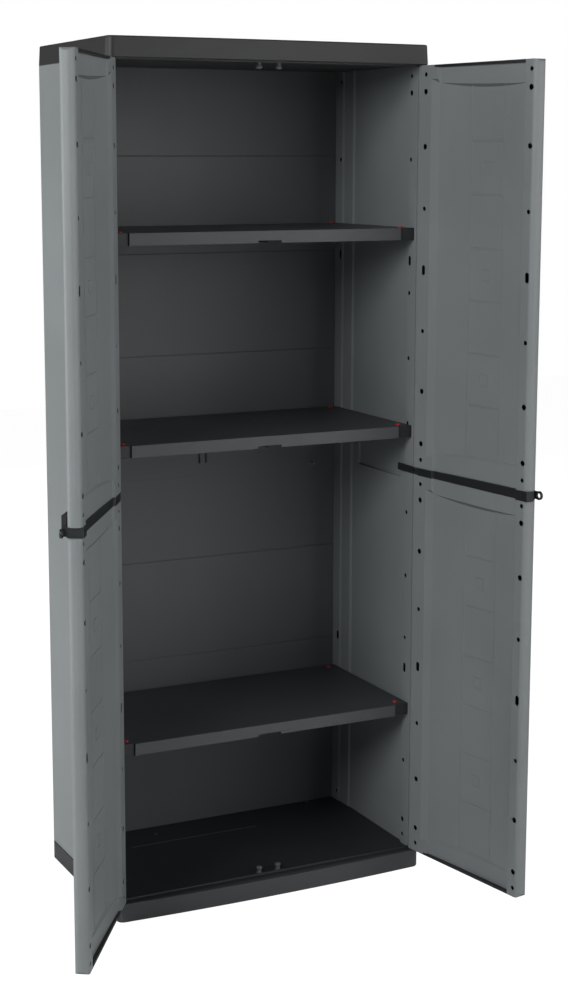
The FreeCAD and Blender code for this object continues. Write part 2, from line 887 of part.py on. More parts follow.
def leaf_outline(side, first_u, last_u, inset):
    """A door's section from its flat inner side to its bowed outer face, less an inset on the outer face."""
    x_first, x_last = hinge_x - first_u, hinge_x - last_u
    radius = door_radius - inset
    y_first = bow_centre_y - (radius * radius - x_first * x_first).root()
    y_last = bow_centre_y - (radius * radius - x_last * x_last).root()
    return [
        (side * x_first, door_inner),
        (side * x_last, door_inner),
        (side * x_last, y_last, radius, -side),
        (side * x_first, y_first),
    ]


def leaf_blank(name, side, upward):
    low, high = rise(upward, as_size(0), door_reach)
    body = prism(name + "_leaf", "XY_Plane", leaf_outline(side, as_size(0), door_length, as_size(0)), low, high)
    free_x = s.door_gap.value / 2
    round_edges(body, s.door_corner, lambda edge: upright(edge) and abs(abs(edge.Vertexes[0].X) - free_x) < 0.01)
    nose = rod(name + "_nose", s.nose_radius, "z", (low, high), side * hinge_x, hinge_y)
    return group(name + "_blank", [body, nose])


def field_profile(side, start, bulge):
    """The recess in a door's inner side: a slope from its start, then a long fall towards the free side."""
    clear = door_inner + s.band_proud + s.fit
    run = free_flange_u - s.slope_end
    fall = s.field_depth - s.slope_depth
    half = (run * run + fall * fall).root() / 2
    radius = (half * half + bulge * bulge) / (2 * bulge)
    return [
        (leaf_x(side, start), clear),
        (leaf_x(side, start), door_inner),
        (leaf_x(side, s.slope_end), door_inner - s.slope_depth, radius, side),
        (leaf_x(side, free_flange_u), door_inner - s.field_depth),
        (leaf_x(side, free_flange_u), clear),
    ]


def rib_sheet(name, side, span):
    """A thin curved sheet in the recess's surface, from which the raised ladder is cut."""
    run = free_flange_u - s.slope_end
    fall = s.field_depth - s.slope_depth
    chord = (run * run + fall * fall).root()
    bulge = s.field_bulge
    radius = (chord * chord / 4 + bulge * bulge) / (2 * bulge)
    centre_u = (s.slope_end + free_flange_u) / 2 + fall / chord * (radius - bulge)
    centre_depth = (s.slope_depth + s.field_depth) / 2 - run / chord * (radius - bulge)
    first, last = s.ladder_left - s.rib_width, s.ladder_right + s.rib_width

    def surface(u, reach):
        along = u - centre_u
        return door_inner - centre_depth - (reach * reach - along * along).root()

    high, low = radius - s.rib_height, radius + s.rib_height
    corners = [
        (leaf_x(side, first), surface(first, high), high, side),
        (leaf_x(side, last), surface(last, high)),
        (leaf_x(side, last), surface(last, low), low, -side),
        (leaf_x(side, first), surface(first, low)),
    ]
    return prism(name, "XY_Plane", corners, *span)


def field_tools(name, side, upward):
    """The flat recess over the door's whole height, and the deep one, whose ends slope gently."""
    ends = rise(upward, as_size(0), door_reach)
    low, high = rise(upward, s.field_near, s.field_far)
    flat = prism(name + "_flat", "XY_Plane", field_profile(side, s.pad_edge, s.rib_height), *ends)
    section = prism(name + "_section", "XY_Plane", field_profile(side, s.hinge_flange, s.field_bulge), low, high)
    run = s.hollow_depth * s.ledge_run
    slopes = [
        (door_inner + s.hollow_depth, low - run),
        (door_inner + s.hollow_depth, high + run),
        (door_inner - s.hollow_depth, high - run),
        (door_inner - s.hollow_depth, low + run),
    ]
    length = prism(name + "_length", "YZ_Plane", slopes, *leaf_span(side, as_size(0), door_length))
    return flat, common(name + "_deep", section, length)


def ladder(name, side, upward):
    """The raised lines of a door half's inner side: two long rails, six rungs and three small squares."""
    middle = rise(upward, s.field_near, s.field_far)
    inside = (door_face(as_size(0)), door_inner)
    half = s.rib_width / 2
    bars = []
    for n, u in enumerate((s.ladder_left, s.ladder_right)):
        bars.append(box(f"{name}_rail{n}", leaf_span(side, u - half, u + half), inside,
                        rise(upward, s.field_near + half, s.field_far - s.ladder_end_gap)))
    for n in range(rung_count):
        z = s.ladder_first + s.ladder_pitch * n
        bars.append(box(f"{name}_rung{n}", leaf_span(side, s.ladder_left, s.ladder_right), inside,
                        rise(upward, z - half, z + half)))
    middle_u = (s.ladder_left + s.ladder_right) / 2
    for n in range(0, rung_count - 1, 2):
        z = s.ladder_first + s.ladder_pitch * (n + 0.5)
        frame = box(f"{name}_tile{n}", leaf_span(side, middle_u - s.ladder_box, middle_u + s.ladder_box), inside,
                    rise(upward, z - s.ladder_box, z + s.ladder_box))
        room = s.ladder_box - s.rib_width
        hole = box(f"{name}_tile_room{n}", leaf_span(side, middle_u - room, middle_u + room), inside,
                   rise(upward, z - room, z + room))
        bars.append(cut(f"{name}_tile_ring{n}", frame, [hole]))
    return common(name + "_ribs", rib_sheet(name + "_sheet", side, middle), group(name + "_bars", bars))


def door_hollow(name, side, upward):
    """The air inside a blown door half."""
    wall = s.door_skin
    radius = door_radius - wall

    def outer(u):
        x = hinge_x - u
        return bow_centre_y - (radius * radius - x * x).root()

    start, step, stop = s.hollow_start, free_flange_u + wall, door_length - s.hollow_stop
    near_y = door_inner - wall
    deep_y = door_inner - s.hollow_depth
    corners = [
        (leaf_x(side, start), near_y),
        (leaf_x(side, s.hinge_flange - wall), near_y),
        (leaf_x(side, s.slope_end), deep_y),
        (leaf_x(side, step), deep_y),
        (leaf_x(side, step), near_y),
        (leaf_x(side, stop), near_y),
        (leaf_x(side, stop), outer(stop), radius, -side),
        (leaf_x(side, start), outer(start)),
    ]
    return prism(name + "_hollow", "XY_Plane", corners, *rise(upward, hollow_near, door_reach - wall))


def band_zone(name, side, first_u, last_u):
    """The wedge of height that the mid band takes, taller and lower towards the free side."""
    growth = (s.band_half_free - s.band_half_hinge) / door_length
    sink = s.band_drop / door_length
    first_z, last_z = s.mid_height - sink * first_u, s.mid_height - sink * last_u
    first, last = s.band_half_hinge + growth * first_u, s.band_half_hinge + growth * last_u
    corners = [
        (leaf_x(side, first_u), first_z - first),
        (leaf_x(side, last_u), last_z - last),
        (leaf_x(side, last_u), last_z + last),
        (leaf_x(side, first_u), first_z + first),
    ]
    front = door_face(as_size(0)) - s.ring_radius
    return prism(name, "XZ_Plane", corners, front, door_inner + s.ring_radius)


flange_holes = (
    (25, "small"), (58, "large"), (165, "large"), (287, "small"), (409, "slot"), (531, "small"),
    (652, "large"), (759, "large"), (792, "small"),
)


def flange_tools(name, side, upward):
    """The holes in a door's two flanges, which open into its hollow."""
    tools = []
    wall = (door_inner - s.door_skin, door_inner)
    for edge, u in (("hinge", s.hinge_holes_u), ("free", s.free_holes_u)):
        for offset, kind in flange_holes:
            tag = f"{name}_{edge}{offset}"
            z = s.mid_height + upward * offset
            if kind == "slot":
                tools.append(slot(tag, s.slot_half_width, s.slot_half_height, "y", wall, leaf_x(side, u), z))
            else:
                radius = s.large_hole if kind == "large" else s.small_hole
                tools.append(rod(tag, radius, "y", wall, leaf_x(side, u), z))
    return tools


def strip_outline(side, play):
    """The section of the black strip that closes a door's end between its flanges."""
    radius = door_radius - s.door_skin - play
    x_first, x_last = hinge_x - s.strip_start, hinge_x - s.strip_end
    return [
        (side * x_first, door_inner),
        (side * x_last, door_inner),
        (side * x_last, bow_centre_y - (radius * radius - x_last * x_last).root(), radius, -side),
        (side * x_first, bow_centre_y - (radius * radius - x_first * x_first).root()),
    ]


def corner_tool(name, side, upward):
    """What rounds the outer free corner of a door in the front view."""
    r = s.corner_round
    span = rise(upward, door_reach - r, door_reach)
    block = box(name + "_block", leaf_span(side, door_length - r, door_length),
                (door_face(as_size(0)), door_inner), span)
    z = s.mid_height + upward * (door_reach - r)
    disc = rod(name + "_disc", r, "y", (door_face(as_size(0)), door_inner), leaf_x(side, door_length - r), z)
    return cut(name, block, [disc])


def make_door(side, hand):
    for place, upward, pivot in (("lower", -1, "bottom"), ("upper", 1, "top")):
        name = f"door_{hand}_{place}"
        strip_span = rise(upward, door_reach - s.strip_height, door_reach)
        flat, deep = field_tools(name + "_field", side, upward)
        band_room = band_zone(name + "_band_room", side, -s.nose_radius - s.cut_margin, door_length + s.cut_margin)
        tools = flange_tools(name, side, upward)
        tools.append(prism(name + "_strip_room", "XY_Plane", strip_outline(side, as_size(0)), *strip_span))
        tools.append(corner_tool(name + "_corner", side, upward))
        tools.append(rod(name + "_pivot_bore", s.pivot_radius + s.running_fit, "z",
                         rise(upward, door_reach - s.pivot_rise - s.fit, door_reach), side * hinge_x, hinge_y))
        tools.append(box(name + "_band_socket",
                         leaf_span(side, s.band_tongue_start - s.fit, free_flange_u - s.fit),
                         band_tongue_y(s.fit), rise(upward, as_size(0), hollow_near)))
        shell = cut(name + "_cut", leaf_blank(name, side, upward), [flat], [deep],
                    [door_hollow(name, side, upward)], [band_room], tools)
        panel = group(name + "_ribbed", [shell, ladder(name + "_ladder", side, upward)])
        swing(panel, side)
        finish(name + "_panel", panel)
        strip = prism(f"door_{hand}_{pivot}_strip_block", "XY_Plane", strip_outline(side, s.fit), *strip_span)
        swing(strip, side)
        finish(f"door_{hand}_{pivot}_strip", strip)
        make_pivot(side, hand, pivot, upward)
    make_band(side, hand)
    make_mid_hinge(side, hand)


def band_tongue_y(clearance):
    y = door_face(as_size(0)) + s.band_tongue_cover
    return (y - clearance, y + s.band_tongue_thick + clearance)


def make_pivot(side, hand, place, upward):
    """A pin in the base or the cap, with a collar that the door turns on."""
    name = f"pivot_pin_{place}_{hand}"
    seat = door_reach + s.door_end_gap
    collar = rise(upward, door_reach + s.fit, seat)
    shank = rise(upward, door_reach - s.pivot_rise, seat + s.pivot_root - s.fit)
    x = side * hinge_x
    bars = [rod(name + "_collar", s.pivot_collar, "z", collar, x, hinge_y),
            rod(name + "_shank", s.pivot_radius, "z", shank, x, hinge_y)]
    finish(name, group(name + "_pin", bars))


def make_band(side, hand):
    """The black band between the halves of a door, with its hinge eye and its padlock ring."""
    name = f"door_{hand}_band"
    wrap_u = door_length + s.band_wrap
    stem_u = hinge_x - s.ring_radius - s.stem_gap
    end_u = wrap_u if side > 0 else stem_u
    x_start, x_end = hinge_x - s.band_start, hinge_x - end_u
    outer_radius = door_radius + s.band_wrap
    clear = door_inner + s.band_proud
    low_y = door_inner - s.field_depth + s.band_proud

    def outer(x):
        return bow_centre_y - (outer_radius * outer_radius - x * x).root()

    ramp = free_flange_u - s.fit
    corners = [
        (side * x_start, clear),
        (leaf_x(side, s.pad_edge), clear),
        (leaf_x(side, s.slope_end), clear - s.slope_depth),
        (leaf_x(side, ramp), low_y),
        (leaf_x(side, ramp), clear),
        (side * x_end, clear),
        (side * x_end, outer(x_end), outer_radius, -side),
        (side * x_start, outer(x_start)),
    ]
    full = (ring_z - s.band_half_free, s.mid_height + s.band_half_free)
    section = prism(name + "_section", "XY_Plane", corners, *full)
    zone = band_zone(name + "_zone", side, s.band_start, end_u)
    strap = common(name + "_strap", section, zone)
    eye_z = (s.mid_height - s.eye_half, s.mid_height + s.eye_half)
    eye = rod(name + "_eye", s.eye_radius, "z", eye_z, side * hinge_x, hinge_y)
    link = box(name + "_link", leaf_span(side, as_size(0), s.band_start),
               (hinge_y - s.eye_radius, hinge_y + s.eye_radius), eye_z)
    tongue = box(name + "_tongue", leaf_span(side, s.band_tongue_start, free_flange_u - 2 * s.fit),
                 band_tongue_y(as_size(0)), (s.mid_height - s.band_tongue_reach, s.mid_height + s.band_tongue_reach))
    face = door_face(as_size(0)) - s.band_wrap
    ring_back = face - (0 if side > 0 else s.ring_thick + s.ring_step)
    ring_y = (ring_back - s.ring_thick, ring_back)
    disc = rod(name + "_ring", s.ring_radius, "y", ring_y, as_size(0), ring_z)
    half = s.band_half_hinge
    tall = (ring_z - half, ring_z + half)
    plate = box(name + "_ring_plate", leaf_span(side, stem_u - s.stem_width, hinge_x), ring_y, tall)
    stem_inner = door_face(as_size(0)) + s.door_skin
    stem = box(name + "_stem", leaf_span(side, stem_u - s.stem_width, stem_u), (ring_y[0], stem_inner), tall)
    blocks = [strap, eye, link, tongue, disc, plate, stem]
    if side < 0:
        blocks.append(finger_pull(name, side, stem_u, ring_y[0], face))
    solid = group(name + "_solid", blocks)
    tools = [
        rod(name + "_eye_bore", s.mid_pin_radius + s.running_fit, "z", eye_z, side * hinge_x, hinge_y),
        rod(name + "_ring_bore", s.ring_hole, "y", ring_y, as_size(0), ring_z),
    ]
    if side > 0:
        tools.append(box(name + "_shackle_room", leaf_span(side, stem_u, wrap_u),
                         (ring_back, ring_back + s.shackle_room), full))
    band = cut(name + "_cut", solid, tools)
    swing(band, side)
    finish(name, band)


def finger_pull(name, side, stem_u, front, rear):
    """The upright fin with a slanted top on the left band."""
    low = ring_z + s.band_half_hinge - s.fin_root
    high = ring_z + s.fin_top
    corners = [
        (front, low),
        (rear - s.fit, low),
        (rear - s.fit, high),
        (front, high - s.fin_slant),
    ]
    x = leaf_span(side, stem_u - s.stem_width, stem_u)
    return prism(name + "_fin", "YZ_Plane", corners, *x)


def make_mid_hinge(side, hand):
    """The arm on the side wall that carries a door's middle, and its pin."""
    name = f"mid_hinge_arm_{hand}"
    inner = post_in
    arm_half = s.band_half_hinge - s.fit
    plate_x = across(side, inner - s.arm_thick, inner)
    z = (s.mid_height - arm_half, s.mid_height + arm_half)
    web_front = hinge_y + s.arm_web
    plate = box(name + "_plate", plate_x, (web_front, wall_start + s.arm_back), z)
    neck = box(name + "_neck", across(side, inner - s.arm_thick, hinge_x),
               (hinge_y, wall_start - s.fit), z)
    knuckle = rod(name + "_knuckle", s.arm_radius, "z", z, side * hinge_x, hinge_y)
    solid = group(name + "_solid", [plate, neck, knuckle])
    gap = arm_half - s.arm_plate
    mouth = box(name + "_mouth", across(side, inner - s.arm_thick, hinge_x + s.arm_radius),
                (hinge_y - s.arm_radius, web_front), (s.mid_height - gap, s.mid_height + gap))
    bore = rod(name + "_bore", s.mid_pin_radius + s.running_fit, "z", z, side * hinge_x, hinge_y)
    finish(name, cut(name + "_cut", solid, [mouth], [bore]))
    finish(f"mid_hinge_pin_{hand}", rod(f"mid_hinge_pin_{hand}_bar", s.mid_pin_radius, "z", z,
                                        side * hinge_x, hinge_y))


def make_stops():
    """Pairs of pegs behind the doors' meeting edges, on the base and under the cap."""
    for place, seat, upward in (("bottom", floor_top, 1), ("top", cap_bottom, -1)):
        pegs = []
        for side in (-1, 1):
            x, y = side * s.stop_x, front_y + s.stop_y
            tip, root = seat + upward * s.stop_height, seat - upward * (s.slab_wall - s.fit)
            body = rod(f"stop_{place}{side}", s.stop_radius, "z", (seat, tip) if upward > 0 else (tip, seat), x, y)
            foot = rod(f"stop_root_{place}{side}", s.stop_root_radius, "z",
                       (root, seat) if upward > 0 else (seat, root), x, y)
            pegs.append(group(f"stop_peg_{place}{side}", [body, foot]))
        finish(f"door_stops_{place}", group(f"stops_{place}", pegs))


make_base()
make_cap()
make_side_panels()
make_side_connectors()
make_back()
make_shelf("lower", lower_shelf_top)
make_shelf("middle", middle_shelf_top)
make_shelf("upper", upper_shelf_top)
make_door(-1, "left")
make_door(1, "right")
make_stops()
doc.recompute()

for item in doc.Objects:
    if "Invalid" in item.State or "Error" in item.State:
        raise RuntimeError(f"{item.Name} failed: {item.getStatusString()}")
for label, item in pieces.items():
    if item.Shape.isNull() or not item.Shape.isValid():
        raise RuntimeError(f"{label} has no valid shape")

os.makedirs("parts", exist_ok=True)
for label, item in pieces.items():
    item.Shape.exportStep(f"parts/{label}.step")
    print(label, "solids", len(item.Shape.Solids), "volume", round(item.Shape.Volume / 1000, 1), "cm3")
print(len(pieces), "parts written")
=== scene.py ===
import math

import bmesh
import bpy
from mathutils import Euler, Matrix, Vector


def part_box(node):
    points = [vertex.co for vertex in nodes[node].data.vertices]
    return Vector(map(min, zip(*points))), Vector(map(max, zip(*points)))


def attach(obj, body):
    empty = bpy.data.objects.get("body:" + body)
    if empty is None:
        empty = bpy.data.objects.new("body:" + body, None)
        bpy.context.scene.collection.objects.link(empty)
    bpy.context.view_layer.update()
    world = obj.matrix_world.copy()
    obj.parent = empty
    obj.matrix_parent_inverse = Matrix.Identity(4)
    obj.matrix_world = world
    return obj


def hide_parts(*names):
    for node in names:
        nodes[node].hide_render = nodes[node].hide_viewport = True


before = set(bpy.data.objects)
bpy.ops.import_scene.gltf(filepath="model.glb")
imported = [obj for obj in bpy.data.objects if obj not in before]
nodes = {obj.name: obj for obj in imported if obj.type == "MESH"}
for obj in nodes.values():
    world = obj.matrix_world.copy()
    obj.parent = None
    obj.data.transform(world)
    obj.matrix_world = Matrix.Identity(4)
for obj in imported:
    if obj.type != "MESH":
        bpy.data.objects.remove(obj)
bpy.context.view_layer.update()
bpy.ops.object.select_all(action="DESELECT")
print("frame loaded:", len(nodes), "nodes")


# Shader helpers: sums on sockets read like sums on numbers

class Signal:
    def __init__(self, finish, socket):
        self.finish = finish
        self.socket = socket

    def math(self, operation, first, second):
        return self.finish.add("ShaderNodeMath", {"operation": operation}, {0: first, 1: second})

    def __add__(self, other):
        return self.math("ADD", self, other)

    def __sub__(self, other):
        return self.math("SUBTRACT", self, other)

    def __mul__(self, other):
        return self.math("MULTIPLY", self, other)

    def __truediv__(self, other):
        return self.math("DIVIDE", self, other)

    def __gt__(self, other):
        return self.math("GREATER_THAN", self, other)

    def __lt__(self, other):
        return self.math("LESS_THAN", self, other)

    def __abs__(self):
        return self.math("ABSOLUTE", self, 0.0)

    def __rsub__(self, other):
        return self.math("SUBTRACT", other, self)

    __radd__ = __add__


class Finish:
    def __init__(self, name):
        self.material = bpy.data.materials.new(name)
        self.material.use_nodes = True
        self.tree = self.material.node_tree
        self.tree.nodes.clear()
        self.place = self.add("ShaderNodeTexCoord", {}, {}, "Object")

    def add(self, kind, settings, sockets, output=0):
        node = self.tree.nodes.new(kind)
        for name, value in settings.items():
            setattr(node, name, value)
        for name, value in sockets.items():
            if isinstance(value, Signal):
                self.tree.links.new(value.socket, node.inputs[name])
            else:
                node.inputs[name].default_value = value
        return Signal(self, node.outputs[output])

    def noise(self, scale, detail=3.0, stretch=(1, 1, 1)):
        place = self.add("ShaderNodeMapping", {}, {"Vector": self.place, "Scale": stretch})
        return self.add("ShaderNodeTexNoise", {}, {"Vector": place, "Scale": scale, "Detail": detail})

    def spread(self, signal, low, high):
        sockets = {"Value": signal, "From Min": low, "From Max": high}
        return self.add("ShaderNodeMapRange", {"interpolation_type": "SMOOTHSTEP"}, sockets)

    def along(self, axis):
        return self.add("ShaderNodeSeparateXYZ", {}, {"Vector": self.place}, axis)

    def blend(self, factor, first, second):
        return self.add("ShaderNodeMix", {"data_type": "RGBA"}, {0: factor, 6: first, 7: second}, 2)

    def close(self, shader):
        output = self.tree.nodes.new("ShaderNodeOutputMaterial")
        self.tree.links.new(shader.socket, output.inputs["Surface"])
        return self.material


def shade(colour, amount):
    return tuple(channel * amount for channel in colour[:3]) + (1.0,)


def mouldedPlastic(name, look):
    finish = Finish(name)
    colour = look["colour"]
    cloud = finish.spread(finish.noise(look["cloudSize"], 2.0), *look["cloudBand"])
    flow = finish.spread(finish.noise(look["flowSize"], 3.0, look["flow"]), *look["flowBand"])
    grain = finish.noise(look["grainSize"], 2.0)
    tone = cloud * look["cloudShare"] + flow * (1 - look["cloudShare"])
    base = finish.blend(tone, shade(colour, 1 - look["variation"]), shade(colour, 1 + look["variation"]))
    speck = finish.spread(finish.noise(look["speckSize"], 1.0), *look["speckBand"]) * look["specks"]
    base = finish.blend(speck, base, look["speckColour"])
    if "paintedLitFace" in look:
        axis, start, stop, litFaceTint = look["paintedLitFace"]  # painted light: a side of the moulding that is painted lighter where light falls on it, in metres
        side = finish.spread(finish.along(axis), start, stop)
        base = finish.blend(side, base, litFaceTint)
    # painted shade: the hollow behind the holes in walls and doors is painted very dark
    if "inside" in look:
        base = finish.blend(look["inside"](finish), base, look["insideColour"])
    rough = look["roughness"] + (grain - 0.5) * look["roughGrain"] + (cloud - 0.5) * look["roughCloud"]
    height = grain * look["grainDepth"] + finish.noise(look["waveSize"], 1.0) * look["waveDepth"]
    soft = finish.add("ShaderNodeBevel", {"samples": 4}, {"Radius": look["edge"]})
    # painted shade: faces turned downwards are darkened, as under steps and ledges
    flat = finish.add("ShaderNodeNewGeometry", {}, {}, "Normal")
    tilt = finish.add("ShaderNodeSeparateXYZ", {}, {"Vector": flat}, "Z")
    paintedUnderShade = finish.spread(0.0 - tilt, *look["underShadeBand"]) * look["underShade"]
    base = finish.blend(paintedUnderShade, base, look["underShadeColour"])
    # edges lightened: partly rubbed wear, partly painted edge highlight
    bend = finish.add("ShaderNodeVectorMath", {"operation": "DOT_PRODUCT"}, {0: soft, 1: flat}, "Value")
    wornAndSheen = finish.spread(1.0 - bend, *look["wearAndSheenBand"]) * look["wearAndSheen"]
    base = finish.blend(wornAndSheen, base, look["wornAndSheenColour"])
    relief = {"Strength": 1.0, "Distance": look["relief"], "Height": height, "Normal": soft}
    bump = finish.add("ShaderNodeBump", {}, relief)
    sockets = {"Base Color": base, "Roughness": rough, "Normal": bump, "Specular IOR Level": look["gloss"]}
    return finish.close(finish.add("ShaderNodeBsdfPrincipled", {}, sockets))


def brushedMetal(name, look):
    finish = Finish(name)
    streak = finish.spread(finish.noise(look["streakSize"], 3.0, look["streak"]), *look["streakBand"])
    dark, light = (shade(look["colour"], look[end]) for end in ("darkest", "lightest"))
    base = finish.blend(streak, dark, light)
    relief = {"Strength": look["bump"], "Distance": look["relief"], "Height": streak}
    bump = finish.add("ShaderNodeBump", {}, relief)
    rough = look["roughness"] + streak * look["roughStreak"]
    sockets = {"Base Color": base, "Roughness": rough, "Normal": bump, "Metallic": 1.0}
    return finish.close(finish.add("ShaderNodeBsdfPrincipled", {}, sockets))


# The air within the hollow walls and doors, in metres, which the finish paints very dark behind their
# holes: painted shade
hollow = {
    "wallIn": 0.3254,
    "wallOut": 0.3371,
    "frontPost": (-0.1736, -0.1439),
    "rearPost": (0.1390, 0.1670),
    "pivot": (0.330, -0.1856),  # the right door's, across and deep
    "middle": 0.85,
    "doorReach": 0.809,  # up and down from the middle
    "hingeFlange": (0.0115, 0.0343),  # along the door, from its pivot
    "freeFlange": (0.2995, 0.3200),
    "innerSkin": 0.0078,  # how far from the pivot's plane
    "outerSkin": 0.0080,
    "bowRadius": 5.785,
}


def between(signal, span):
    return (signal > span[0]) * (signal < span[1])


def wallCavityShade(finish):
    out = abs(finish.along("X"))
    along = finish.along("Y")
    posts = between(along, hollow["frontPost"]) + between(along, hollow["rearPost"])
    return between(out, (hollow["wallIn"], hollow["wallOut"])) * posts


def doorCavityShade(side, opened):
    def mask(finish):
        right = finish.along("X") - side * hollow["pivot"][0]
        back = finish.along("Y") - hollow["pivot"][1]
        cosine, sine = math.cos(opened), math.sin(opened)
        along = (right * cosine + back * sine) * -side  # from the pivot towards the free edge
        deep = back * cosine - right * sine
        bow = along * (2 * hollow["pivot"][0] - along) / (2 * hollow["bowRadius"])
        outer = deep + hollow["outerSkin"] + bow
        flanges = between(along, hollow["hingeFlange"]) + between(along, hollow["freeFlange"])
        height = abs(finish.along("Z") - hollow["middle"]) < hollow["doorReach"]
        return flanges * (deep < hollow["innerSkin"]) * (outer > 0.0) * height
    return mask


greyPlastic = {
    "colour": (0.235, 0.255, 0.262),
    "cloudSize": 5.0,
    "cloudBand": (0.3, 0.7),
    "cloudShare": 0.6,
    "flowSize": 9.0,
    "flowBand": (0.35, 0.7),
    "flow": (1.0, 1.0, 0.12),
    "grainSize": 900.0,
    "grainDepth": 0.10,
    "waveSize": 14.0,
    "waveDepth": 0.9,
    "relief": 0.001,
    "variation": 0.05,
    "specks": 0.25,
    "speckSize": 260.0,
    "speckBand": (0.68, 0.76),
    "speckColour": (0.34, 0.36, 0.365, 1.0),
    "underShade": 0.5,  # painted shade under steps and ledges, on faces turned downwards
    "underShadeBand": (0.25, 0.45),
    "underShadeColour": (0.030, 0.032, 0.034, 1.0),
    # lightened edges, partly real wear and partly painted highlight
    "wearAndSheen": 0.5,
    "wearAndSheenBand": (0.02, 0.25),
    "wornAndSheenColour": (0.36, 0.38, 0.385, 1.0),
    "roughness": 0.46,
    "roughGrain": 0.10,
    "roughCloud": 0.06,
    "gloss": 0.45,
    "edge": 0.0016,
}
# painted shade: the colour given to the hollow behind the holes
cavityShadeBlack = (0.004, 0.004, 0.005, 1.0)
openAngles = {"left": math.radians(-123.2), "right": math.radians(99.8)}
wallPlastic = dict(greyPlastic, inside=wallCavityShade, insideColour=cavityShadeBlack)
leftDoorPlastic = dict(greyPlastic, inside=doorCavityShade(-1, openAngles["left"]), insideColour=cavityShadeBlack)
rightDoorPlastic = dict(greyPlastic, inside=doorCavityShade(1, openAngles["right"]), insideColour=cavityShadeBlack)
backPlastic = dict(greyPlastic, colour=(0.105, 0.115, 0.119), speckColour=(0.15, 0.16, 0.16, 1.0),
                   waveDepth=0.5, wornAndSheenColour=(0.16, 0.17, 0.175, 1.0))
slabPlastic = dict(greyPlastic, underShade=0.0, colour=(0.030, 0.032, 0.035), waveDepth=0.3, grainDepth=0.16,
                   speckColour=(0.06, 0.06, 0.062, 1.0), roughness=0.5, edge=0.002,
                   wornAndSheenColour=(0.06, 0.063, 0.066, 1.0))
# painted light: the cap's underside and the fronts of the base and shelves are painted lighter
capPlastic = dict(slabPlastic, colour=(0.0245, 0.0250, 0.0245), wornAndSheenColour=(0.065, 0.066, 0.064, 1.0),
                  wearAndSheen=0.8, paintedLitFace=("Z", 1.6624, 1.6621, (0.055, 0.056, 0.057, 1.0)))
basePlastic = dict(slabPlastic, paintedLitFace=("Y", -0.1900, -0.1935, (0.066, 0.069, 0.072, 1.0)))
shelfPlastic = dict(slabPlastic, colour=(0.058, 0.062, 0.070), specks=0.5, speckSize=190.0, roughness=0.48,
                    flow=(0.2, 2.0, 2.0), paintedLitFace=("Y", -0.1717, -0.1722, (0.090, 0.092, 0.094, 1.0)))
bracketPlastic = dict(slabPlastic, colour=(0.022, 0.024, 0.027), specks=0.2)
bandPlastic = dict(slabPlastic, colour=(0.016, 0.018, 0.020), specks=0.1, roughness=0.42, gloss=0.5,
                   edge=0.001, wearAndSheen=0.8, wornAndSheenColour=(0.11, 0.115, 0.118, 1.0))
redPlastic = dict(bandPlastic, colour=(0.58, 0.028, 0.034), speckColour=(0.7, 0.08, 0.08, 1.0),
                  roughness=0.38, waveDepth=0.0, edge=0.0006, wornAndSheenColour=(0.75, 0.12, 0.13, 1.0))
pegPlastic = dict(bandPlastic, colour=(0.11, 0.118, 0.122), speckColour=(0.24, 0.25, 0.25, 1.0),
                  waveDepth=0.0, wornAndSheenColour=(0.28, 0.29, 0.29, 1.0))
screwSteel = {
    "colour": (0.55, 0.56, 0.57),
    "streakSize": 120.0,
    "streak": (1, 1, 12),
    "streakBand": (0.3, 0.7),
    "darkest": 0.85,
    "lightest": 1.1,
    "bump": 0.3,
    "relief": 0.0002,
    "roughness": 0.28,
    "roughStreak": 0.12,
}
finishes = {
    "wall": mouldedPlastic("greyWallPlastic", wallPlastic),
    "leftDoor": mouldedPlastic("greyLeftDoorPlastic", leftDoorPlastic),
    "rightDoor": mouldedPlastic("greyRightDoorPlastic", rightDoorPlastic),
    "back": mouldedPlastic("darkBackPlastic", backPlastic),
    "base": mouldedPlastic("charcoalBasePlastic", basePlastic),
    "cap": mouldedPlastic("charcoalCapPlastic", capPlastic),
    "shelf": mouldedPlastic("blackShelfPlastic", shelfPlastic),
    "bracket": mouldedPlastic("blackBracketPlastic", bracketPlastic),
    "band": mouldedPlastic("blackBandPlastic", bandPlastic),
    "red": mouldedPlastic("redPegPlastic", redPlastic),
    "peg": mouldedPlastic("paleStopPlastic", pegPlastic),
    "steel": brushedMetal("screwSteel", screwSteel),
}
print("finishes made:", len(finishes))


# What each carried-over node is made of; the first word that fits wins
nodeFinishes = {
    "base": "base",
    "top_cap": "cap",
    "side_": "wall",
    "back_connector_screws": "steel",
    "back_": "back",
    "lock_pegs": "red",
    "shelf_": "shelf",
    "bracket_": "bracket",
    "pivot_pin": "band",
    "mid_hinge_pin": "steel",
    "mid_hinge_arm": "band",
    "_band": "band",
    "_strip": "band",
    "door_left": "leftDoor",
    "door_right": "rightDoor",
    "door_stops": "peg",
}
for name, node in nodes.items():
    word = next(word for word in nodeFinishes if word in name)
    node.data.materials.clear()
    node.data.materials.append(finishes[nodeFinishes[word]])
print("nodes finished")


# New pieces: round ones are drawn up in steps from a short cylinder

roundedAngle = 35
smoothAngle = 40


def startEdit(piece):
    bpy.ops.object.select_all(action="DESELECT")
    piece.select_set(True)
    bpy.context.view_layer.objects.active = piece
    bpy.ops.object.mode_set(mode="EDIT")
    bpy.ops.mesh.select_mode(type="FACE")
    bpy.ops.mesh.select_all(action="DESELECT")


def pickFace(piece, height):
    mesh = bmesh.from_edit_mesh(piece.data)
    for face in mesh.faces:
        level = all(abs(corner.co.z - height) < 1e-5 for corner in face.verts)
        face.select_set(level and abs(face.normal.z) > 0.9)
    bmesh.update_edit_mesh(piece.data)


def roundEdges(amount, angle):
    bpy.ops.mesh.select_mode(type="EDGE")
    bpy.ops.mesh.select_all(action="DESELECT")
    bpy.ops.mesh.edges_select_sharp(sharpness=math.radians(angle))
    bpy.ops.mesh.bevel(offset=amount, segments=2, affect="EDGES")


